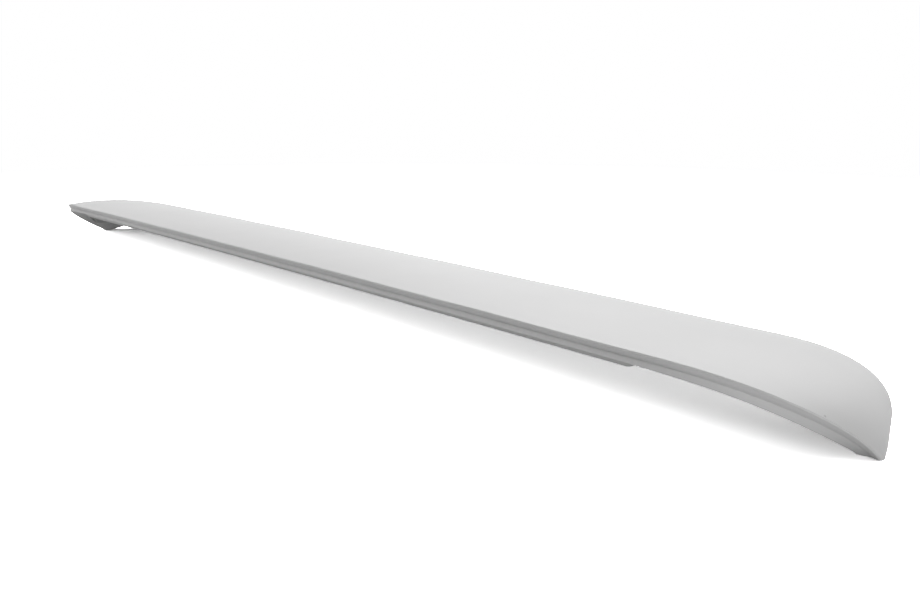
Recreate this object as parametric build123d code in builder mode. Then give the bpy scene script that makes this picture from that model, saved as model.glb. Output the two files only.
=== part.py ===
"""Roof spoiler: one moulded blade with rolled-down ends, a coved trailing edge and a hollow underside."""
import os
from math import atan, cos, pi, radians, sin

from build123d import *

# Driving dimensions, millimetres and degrees
overall_width = 1100.0
blade_depth = 137.2
crease_height = 49.4

# Plan and front view
roll_length = 101.9
roll_end_angle = 89.0
arch_drop = 1.6
bow = 1.2
tip_setback = 72.0
foot_bury = 1.0

# Fullness of the rolled ends: 2 gives an ellipse, more gives a squarer corner
drop_fullness = 2.19
trailing_fullness = 1.83
leading_fullness = 2.89

# Section of the blade, and how much it grows towards the feet
top_rise = 1.0
leading_drop = 11.1
leading_drop_growth = 27.2
leading_drop_sharpness = 3
nose_height = 4.5
nose_facets = 6
edge_height = 8.6
edge_growth = 4.3
cove_height = 5.0
cove_facets = 3
lip_setback = 2.6
lip_fade = 2
lip_out = 1.4
lip_chamfer = 0.4
crease_chamfer = 0.8

# Hollow underside, open downwards between a narrow and a wide bonding land
skin = 3.0
trailing_land = 16.0
leading_land = 58.0
recess_roll_steps = 6
recess_corner = 4.0
cut_clearance = 4.0

# Rib on the land behind the trailing lip
rib_half_length = 438.0
rib_taper = 8.0
rib_thickness = 5.0
rib_setback = 9.0
rib_below_lip = 5.5
rib_root = 2.0

# Stations of the lofts, counted from the middle
span_steps = 5
roll_steps = 8

# Derived sizes
half_width = overall_width / 2
roll_start = half_width - roll_length
arch_slope = 2 * arch_drop / roll_start
trail_mid_y = -(blade_depth + bow) / 2
lead_mid_y = trail_mid_y + blade_depth
tip_y = trail_mid_y + bow + tip_setback
lead_reach = lead_mid_y + bow - tip_y
undercut = lip_setback + lip_out
cove_drop = cove_height - crease_chamfer
cove_turns = [pi / 2 * facet / cove_facets for facet in range(cove_facets + 1)]
nose_turns = [pi * facet / nose_facets for facet in range(nose_facets + 1)]
last_turn = radians(roll_end_angle)
roll_reach = roll_length / sin(last_turn)
roll_start_height = crease_height - arch_drop
last_step = span_steps + roll_steps


def quarter(along, fullness):
    """Height of a rounded quarter, 1 at its start and 0 at its end, at a share of its length."""
    return (1 - along**fullness) ** (1 / fullness)


def quarter_slope(along, fullness):
    """Fall of that rounded quarter for each unit of its length."""
    return along ** (fullness - 1) * (1 - along**fullness) ** (1 / fullness - 1)


roll_fall = roll_start_height + foot_bury - arch_slope * roll_length
roll_drop = roll_fall / (1 - quarter(sin(last_turn), drop_fullness))


def section_plane(side, x, z, slope):
    """Plane across the blade, square to the crease, on the given side of the middle."""
    tilt = atan(slope)
    return Plane(origin=(side * x, 0, z), x_dir=(0, 1, 0), z_dir=(cos(tilt), 0, -side * sin(tilt)))


def span_station(side, part_way):
    """Section plane and the trailing and leading positions at a share of the straight half-span."""
    plane = section_plane(
        side, roll_start * part_way, crease_height - arch_drop * part_way**2, arch_slope * part_way
    )
    return plane, trail_mid_y + bow * part_way**2, lead_mid_y + bow * part_way**2


def roll_station(side, turn):
    """The same for a section in the rolled end, at an angle of turn."""
    share = sin(turn)
    along = roll_reach * share
    z = roll_start_height - arch_slope * along - roll_drop * (1 - quarter(share, drop_fullness))
    slope = arch_slope + roll_drop / roll_reach * quarter_slope(share, drop_fullness)
    plane = section_plane(side, roll_start + along, z, slope)
    trail = tip_y - tip_setback * quarter(share, trailing_fullness)
    return plane, trail, tip_y + lead_reach * quarter(share, leading_fullness)


def station(step):
    """Section plane, trailing and leading positions, and the turn of the end, 0 in the span."""
    side = -1 if step < 0 else 1
    count = abs(step)
    if count <= span_steps:
        return *span_station(side, count / span_steps), 0
    turn = last_turn * (count - span_steps) / roll_steps
    return *roll_station(side, turn), turn


def top_heights(share, growth):
    """Rise of the top at mid depth and its fall at the leading edge, at a share of the full depth."""
    steeper = leading_drop_growth * growth**leading_drop_sharpness
    return top_rise * share, (leading_drop + steeper) * share


def top_height(y, trail, nose_y, rise, fall):
    """Height of the top skin over the crease at a given depth of a section."""
    along = (y - trail) / (nose_y - trail)
    return 4 * (rise + fall / 2) * along * (1 - along) - fall * along


# Ends of the rib, which follows the bow and the arch of the blade, and of the longer strip it is cut from
rib_share = rib_half_length / roll_start
strip_half_length = rib_half_length + cut_clearance
rib_mid_y = trail_mid_y + undercut + rib_setback
strip_end_y = rib_mid_y + bow * (strip_half_length / roll_start) ** 2
rib_mid_low = crease_height - edge_height - rib_below_lip
rib_end_low = rib_mid_low - arch_drop * rib_share**2
rib_height = rib_below_lip + rib_root
taper_start = rib_half_length - rib_taper

with BuildPart() as rib:
    # Curved strip in plan
    with BuildSketch(Plane.XY.offset(rib_end_low - cut_clearance)):
        with BuildLine():
            behind = ThreePointArc(
                (-strip_half_length, strip_end_y), (0, rib_mid_y), (strip_half_length, strip_end_y)
            )
            ahead = ThreePointArc(
                (-strip_half_length, strip_end_y + rib_thickness),
                (0, rib_mid_y + rib_thickness),
                (strip_half_length, strip_end_y + rib_thickness),
            )
            Line(behind @ 0, ahead @ 0)
            Line(behind @ 1, ahead @ 1)
        make_face()
    extrude(amount=rib_height + arch_drop + 2 * cut_clearance)
    # Lower edge that sweeps up at both ends
    with BuildSketch(Plane.XZ):
        with BuildLine():
            low = ThreePointArc((-taper_start, rib_end_low), (0, rib_mid_low), (taper_start, rib_end_low))
            top = ThreePointArc(
                (-rib_half_length, rib_end_low + rib_height),
                (0, rib_mid_low + rib_height),
                (rib_half_length, rib_end_low + rib_height),
            )
            TangentArc(low @ 1, top @ 1, tangent=low % 1)
            TangentArc(low @ 0, top @ 0, tangent=-(low % 0))
        make_face()
    extrude(amount=blade_depth, mode=Mode.INTERSECT)

with BuildPart() as blade:
    # Outer body, lofted through closed sections from tip to tip
    for step in range(-last_step, last_step + 1):
        plane, trail, lead, turn = station(step)
        growth = 1 - cos(turn)
        rise, fall = top_heights((lead - trail) / blade_depth, growth)
        edge = edge_height + edge_growth * growth
        lip_y = trail + lip_setback * (1 - sin(turn)) ** lip_fade
        cove_depth = lip_y + lip_out - trail
        nose_half = (nose_height + edge_growth * growth) / 2
        nose_y = lead - nose_height / 2
        nose = [(nose_y + nose_height / 2 * sin(a), nose_half * (cos(a) - 1) - fall) for a in nose_turns]
        lip = [(lip_y + lip_chamfer, -edge), (lip_y, lip_chamfer - edge)]
        cove = [(trail + cove_depth * (1 - sin(a)), -crease_chamfer - cove_drop * cos(a)) for a in cove_turns]
        crease = (trail + crease_chamfer, 0)
        with BuildSketch(plane):
            with BuildLine():
                Polyline(*nose, *lip, *cove, crease)
                ThreePointArc(crease, ((trail + lead) / 2, rise), nose[0])
            make_face()
    loft()
    # Hollow under the skin, open downwards, that narrows and stops short of the feet
    recess_last = span_steps + recess_roll_steps
    for step in range(-recess_last, recess_last + 1):
        plane, trail, lead, turn = station(step)
        growth = 1 - cos(turn)
        share = (lead - trail) / blade_depth
        rise, fall = top_heights(share, growth)
        nose_y = lead - nose_height / 2
        back_y = trail + (undercut + trailing_land) * share
        front_y = lead - leading_land * share
        back_low = -edge_height - edge_growth * growth - cut_clearance
        front_low = -fall - nose_height - edge_growth * growth - cut_clearance
        depths = (back_y, (back_y + front_y) / 2, front_y)
        ceiling = [(y, top_height(y, trail, nose_y, rise, fall) - skin) for y in depths]
        with BuildSketch(plane) as recess:
            with BuildLine():
                ThreePointArc(*ceiling)
                Polyline(ceiling[0], (back_y, back_low), (front_y, front_low), ceiling[-1])
            make_face()
            fillet(recess.vertices().sort_by(Axis.Y)[-2:], recess_corner)
    loft(mode=Mode.SUBTRACT)
    add(rib.part)
    # Flat feet at the height of the floor
    split(bisect_by=Plane.XY, keep=Keep.TOP)

blade.part.label = "spoiler_blade"
os.makedirs("parts", exist_ok=True)
export_step(blade.part, "parts/spoiler_blade.step")
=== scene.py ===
"""Roof spoiler in grey primer, lying on its two feet on a white studio floor."""
import logging
import math
from dataclasses import dataclass, field
from enum import Enum
from typing import Any

import bpy
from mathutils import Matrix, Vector

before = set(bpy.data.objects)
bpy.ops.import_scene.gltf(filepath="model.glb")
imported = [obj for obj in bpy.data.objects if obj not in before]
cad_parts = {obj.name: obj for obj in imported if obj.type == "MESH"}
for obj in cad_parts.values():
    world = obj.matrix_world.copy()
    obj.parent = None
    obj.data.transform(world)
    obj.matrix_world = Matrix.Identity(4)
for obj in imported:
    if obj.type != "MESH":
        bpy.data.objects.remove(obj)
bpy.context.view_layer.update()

log = logging.getLogger("roof_spoiler")

Point = tuple[float, float, float]
Colour = tuple[float, float, float, float]

MM = 0.001
IMAGE_WIDTH = 920
SENSOR_WIDTH = 36.0
# Tilt at which a camera that starts by looking straight down looks level, in degrees
LEVEL_TILT = 90.0
# Strength of light that the picture shows as white
WHITE = 1.0
# The sRGB curve: a straight foot up to the knee and a power above it
SRGB_KNEE, SRGB_FOOT, SRGB_OFFSET, SRGB_POWER = 0.04045, 12.92, 0.055, 2.4
# Sockets of a Mix node that mixes colours
MIX_SHARE, MIX_FIRST, MIX_SECOND, MIX_RESULT = 0, 6, 7, 2


class Coordinates(Enum):
    """Outputs of the Texture Coordinate node that the finishes read."""

    OBJECT = "Object"


class Ray(Enum):
    """Kinds of ray that the floor and the room answer in their own way."""

    CAMERA = "Is Camera Ray"
    GLOSSY = "Is Glossy Ray"


def linear(hex_colour: str) -> Colour:
    """Turns an sRGB hex colour into the linear values that a shader takes.

    Args:
        hex_colour: Six hex digits with a leading hash.

    Returns:
        Red, green, blue and alpha, linear.
    """
    parts = [int(hex_colour[i:i + 2], 16) / 255 for i in (1, 3, 5)]
    red, green, blue = (
        p / SRGB_FOOT if p <= SRGB_KNEE else ((p + SRGB_OFFSET) / (1 + SRGB_OFFSET)) ** SRGB_POWER
        for p in parts
    )
    return red, green, blue, 1.0


def add_node(
    tree: bpy.types.NodeTree,
    kind: str,
    settings: dict[str, Any] | None = None,
    values: dict[str | int, Any] | None = None,
    links: dict[str | int, bpy.types.NodeSocket] | None = None,
) -> bpy.types.Node:
    """Adds one shader node.

    Args:
        tree: Node tree that gets the node.
        kind: Blender's name of the node type.
        settings: Properties of the node itself.
        values: Values of its input sockets, by name or number.
        links: Output sockets that feed its inputs, by name or number of the input.

    Returns:
        The new node.
    """
    node = tree.nodes.new(kind)
    for name, value in (settings or {}).items():
        setattr(node, name, value)
    for name, value in (values or {}).items():
        node.inputs[name].default_value = value
    for name, socket in (links or {}).items():
        tree.links.new(socket, node.inputs[name])
    return node


def new_material(name: str) -> bpy.types.Material:
    """Makes an empty node material.

    Args:
        name: Name of the material.

    Returns:
        The material with no nodes in it.
    """
    material = bpy.data.materials.new(name)
    material.use_nodes = True
    material.node_tree.nodes.clear()
    return material


@dataclass(frozen=True)
class GreyPrimer:
    """Sprayed primer on a moulding: pale and satin, with faint mottling, orange peel and the painted
    shade of one dimple.
    """

    light: str = "#d6d6d6"
    dark: str = "#cfcfcf"
    roughness: float = 0.52
    ior: float = 1.5
    mottle_mm: float = 60.0
    mottle_detail: float = 3.0
    peel_mm: float = 2.2
    peel_detail: float = 1.0
    peel_height_mm: float = 0.012
    peel_strength: float = 1.0
    dimple_place_mm: Point = (534.4, -28.2, 26.6)
    dimple_mm: float = 1.1
    # Colour painted in as the shade of the dimple
    dimple_painted_shade: str = "#b2b2b2"

    def build(self) -> bpy.types.Material:
        """Makes the primer material.

        Returns:
            The material, ready for a slot.
        """
        material = new_material("grey_primer")
        tree = material.node_tree
        place = add_node(tree, "ShaderNodeTexCoord").outputs[Coordinates.OBJECT.value]
        # Mottling as wide as a spray pass: coordinates are metres, so the scale is one over the size
        mottle = add_node(
            tree,
            "ShaderNodeTexNoise",
            values={"Scale": 1 / (self.mottle_mm * MM), "Detail": self.mottle_detail},
            links={"Vector": place},
        )
        coat = add_node(
            tree,
            "ShaderNodeMix",
            {"data_type": "RGBA"},
            {MIX_FIRST: linear(self.dark), MIX_SECOND: linear(self.light)},
            {MIX_SHARE: mottle.outputs["Fac"]},
        )
        # Painted shade of one dimple in the coat, above the crease of the right end: a darker spot of
        # colour, darkest in its middle
        middle = tuple(v * MM for v in self.dimple_place_mm)
        away = add_node(
            tree, "ShaderNodeVectorMath", {"operation": "DISTANCE"}, {1: middle}, {0: place}
        )
        painted_dimple_mask = add_node(
            tree,
            "ShaderNodeMapRange",
            {"interpolation_type": "SMOOTHSTEP"},
            {"From Min": 0.0, "From Max": self.dimple_mm * MM, "To Min": 1.0, "To Max": 0.0},
            {"Value": away.outputs["Value"]},
        )
        colour = add_node(
            tree,
            "ShaderNodeMix",
            {"data_type": "RGBA"},
            {MIX_SECOND: linear(self.dimple_painted_shade)},
            {MIX_SHARE: painted_dimple_mask.outputs["Result"], MIX_FIRST: coat.outputs[MIX_RESULT]},
        )
        # Orange peel of the dried spray, which softens the sheen
        peel = add_node(
            tree,
            "ShaderNodeTexNoise",
            values={"Scale": 1 / (self.peel_mm * MM), "Detail": self.peel_detail},
            links={"Vector": place},
        )
        bump = add_node(
            tree,
            "ShaderNodeBump",
            values={"Strength": self.peel_strength, "Distance": self.peel_height_mm * MM},
            links={"Height": peel.outputs["Fac"]},
        )
        shader = add_node(
            tree,
            "ShaderNodeBsdfPrincipled",
            values={"Roughness": self.roughness, "IOR": self.ior},
            links={"Base Color": colour.outputs[MIX_RESULT], "Normal": bump.outputs["Normal"]},
        )
        add_node(tree, "ShaderNodeOutputMaterial", links={"Surface": shader.outputs["BSDF"]})
        return material


@dataclass(frozen=True)
class WhiteSweep:
    """Matt studio paper, exposed so that it whitens out where nothing shades it."""

    paper: str = "#646464"
    exposure: float = 2.2
    fade_from: float = 0.9
    fade_to: float = 1.7

    def build(self) -> bpy.types.Material:
        """Makes the floor material, which the lens sees brighter than the object does.

        Returns:
            The material, ready for a slot.
        """
        material = new_material("studio_paper")
        tree = material.node_tree
        path = add_node(tree, "ShaderNodeLightPath").outputs
        bright = (self.exposure, self.exposure, self.exposure, 1.0)
        colour = add_node(
            tree,
            "ShaderNodeMix",
            {"data_type": "RGBA"},
            {MIX_FIRST: linear(self.paper), MIX_SECOND: bright},
            {MIX_SHARE: path[Ray.CAMERA.value]},
        )
        shaded = add_node(tree, "ShaderNodeBsdfDiffuse", links={"Color": colour.outputs[MIX_RESULT]})
        # The sweep runs into plain white away from the object: distances are metres from its middle
        place = add_node(tree, "ShaderNodeTexCoord").outputs[Coordinates.OBJECT.value]
        away = add_node(tree, "ShaderNodeVectorMath", {"operation": "LENGTH"}, links={0: place})
        fade = add_node(
            tree,
            "ShaderNodeMapRange",
            {"interpolation_type": "SMOOTHSTEP"},
            {"From Min": self.fade_from, "From Max": self.fade_to},
            {"Value": away.outputs["Value"]},
        )
        far = add_node(
            tree,
            "ShaderNodeMath",
            {"operation": "MULTIPLY"},
            links={0: fade.outputs["Result"], 1: path[Ray.CAMERA.value]},
        )
        # The sheen of the object shows the sweep as plain white
        share = add_node(
            tree,
            "ShaderNodeMath",
            {"operation": "MAXIMUM"},
            links={0: far.outputs[0], 1: path[Ray.GLOSSY.value]},
        )
        white = add_node(tree, "ShaderNodeEmission", values={"Strength": WHITE})
        both = add_node(
            tree,
            "ShaderNodeMixShader",
            links={0: share.outputs[0], 1: shaded.outputs[0], 2: white.outputs[0]},
        )
        # From below the floor is clear, so that the underside can be looked at
        below = add_node(tree, "ShaderNodeNewGeometry").outputs["Backfacing"]
        clear = add_node(tree, "ShaderNodeBsdfTransparent")
        sheet = add_node(
            tree,
            "ShaderNodeMixShader",
            links={0: below, 1: both.outputs[0], 2: clear.outputs[0]},
        )
        add_node(tree, "ShaderNodeOutputMaterial", links={"Surface": sheet.outputs[0]})
        return material


@dataclass
class SpoilerBlade:
    """The one moulding of the spoiler."""

    node: str = "spoiler_blade"
    finish: GreyPrimer = field(default_factory=GreyPrimer)

    def dress(self) -> bpy.types.Object:
        """Gives the moulding its primer.

        Returns:
            The object of the moulding.
        """
        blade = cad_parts[self.node]
        primer = self.finish.build()
        for slot in blade.material_slots:
            slot.material = primer
        log.info("%s dressed in %s", self.node, primer.name)
        return blade


@dataclass
class StudioFloor:
    """Level floor that reaches past the frame on every side."""

    reach: float = 7.0
    finish: WhiteSweep = field(default_factory=WhiteSweep)

    def build(self) -> bpy.types.Object:
        """Lays the floor under the feet.

        Returns:
            The floor object.
        """
        bpy.ops.object.select_all(action="DESELECT")
        bpy.ops.mesh.primitive_plane_add(size=self.reach, location=(0, 0, 0))
        floor = bpy.context.active_object
        floor.name = "studio_floor"
        floor.data.materials.append(self.finish.build())
        log.info("floor of %.1f m laid", self.reach)
        return floor


@dataclass
class SoftBox:
    """Rectangular area light, aimed at a point."""

    name: str
    place: Point
    aim: Point
    size: tuple[float, float]
    power: float

    def hang(self, lit: bpy.types.Collection) -> None:
        """Puts the light in the scene.

        Args:
            lit: Collection of what it lights; everything casts its shadow.
        """
        lamp = bpy.data.lights.new(self.name, "AREA")
        lamp.shape = "RECTANGLE"
        lamp.size, lamp.size_y = self.size
        lamp.energy = self.power
        holder = bpy.data.objects.new(self.name, lamp)
        holder.location = self.place
        gaze = Vector(self.aim) - Vector(self.place)
        holder.rotation_euler = gaze.to_track_quat("-Z", "Y").to_euler()
        holder.light_linking.receiver_collection = lit
        bpy.context.scene.collection.objects.link(holder)
        log.info("%s hung", self.name)


@dataclass
class Studio:
    """Soft boxes that light the blade alone, washes that light the floor alone, and a white room."""

    boxes: tuple[SoftBox, ...] = (
        SoftBox("back_box", (-0.3, 1.4, 1.78), (0.0, 0.0, 0.0), (2.8, 1.4), 57.0),
        SoftBox("right_box", (2.1, 0.0, 1.4), (0.3, 0.0, 0.0), (1.4, 1.2), 3.0),
        SoftBox("right_panel", (2.0, -0.8, 0.35), (0.4, 0.0, 0.1), (1.2, 0.6), 13.0),
        SoftBox("front_panel", (-1.3, -1.5, 1.0), (-0.1, 0.0, 0.3), (2.2, 1.4), 14.0),
    )
    washes: tuple[SoftBox, ...] = (
        SoftBox("back_wash", (0.4, 0.9, 2.2), (0.0, 0.0, 0.05), (1.8, 1.2), 150.0),
        SoftBox("front_wash", (-1.2, -1.6, 0.95), (0.0, 0.0, 0.05), (1.6, 1.1), 88.0),
        SoftBox("low_wash", (1.85, 1.05, 0.55), (0.0, 0.0, 0.05), (1.2, 0.4), 22.0),
    )
    room: str = "#ffffff"
    room_strength: float = 0.02

    def light(self, blade: bpy.types.Object, floor: bpy.types.Object) -> None:
        """Hangs the lights and sets the glow of the room.

        Args:
            blade: The object, which the boxes light.
            floor: The floor, which the washes light.
        """
        for target, lights in ((blade, self.boxes), (floor, self.washes)):
            lit = bpy.data.collections.new("lit_" + target.name)
            lit.objects.link(target)
            for light in lights:
                light.hang(lit)
        self.paint_room()

    def paint_room(self) -> None:
        """Makes a room that looks white, by itself and in the sheen of the object, but lights little."""
        world = bpy.data.worlds.new("white_room")
        bpy.context.scene.world = world
        world.use_nodes = True
        tree = world.node_tree
        tree.nodes.clear()
        colour = linear(self.room)
        path = add_node(tree, "ShaderNodeLightPath").outputs
        visible = add_node(
            tree,
            "ShaderNodeMath",
            {"operation": "MAXIMUM"},
            links={0: path[Ray.CAMERA.value], 1: path[Ray.GLOSSY.value]},
        )
        glow = add_node(
            tree, "ShaderNodeBackground", values={"Color": colour, "Strength": self.room_strength}
        )
        seen = add_node(tree, "ShaderNodeBackground", values={"Color": colour, "Strength": WHITE})
        mix = add_node(
            tree,
            "ShaderNodeMixShader",
            links={0: visible.outputs[0], 1: glow.outputs[0], 2: seen.outputs[0]},
        )
        add_node(tree, "ShaderNodeOutputWorld", links={"Surface": mix.outputs[0]})
        log.info("room set")


@dataclass
class PhotoCamera:
    """Camera low beside the near end, as the photograph was taken."""

    place: Point = (0.76102, -0.45138, 0.18164)
    turn: float = 50.19
    pitch: float = 12.61
    focal_pixels: float = 949.26
    near_clip: float = 0.01

    def set_up(self) -> None:
        """Makes the camera and looks through it."""
        camera = bpy.data.cameras.new("photo_camera")
        camera.sensor_fit = "HORIZONTAL"
        camera.sensor_width = SENSOR_WIDTH
        camera.lens = self.focal_pixels / IMAGE_WIDTH * SENSOR_WIDTH
        camera.clip_start = self.near_clip
        holder = bpy.data.objects.new("photo_camera", camera)
        holder.location = self.place
        tilt = math.radians(LEVEL_TILT - self.pitch)
        holder.rotation_euler = (tilt, 0.0, math.radians(self.turn))
        bpy.context.scene.collection.objects.link(holder)
        bpy.context.scene.camera = holder
        log.info("camera set")


def main() -> None:
    """Dresses the part and sets up the studio around it."""
    logging.basicConfig(level=logging.INFO, format="%(name)s: %(message)s")
    bpy.context.scene.view_settings.view_transform = "Standard"
    blade = SpoilerBlade().dress()
    floor = StudioFloor().build()
    Studio().light(blade, floor)
    PhotoCamera().set_up()


if __name__ == "__main__":
    main()
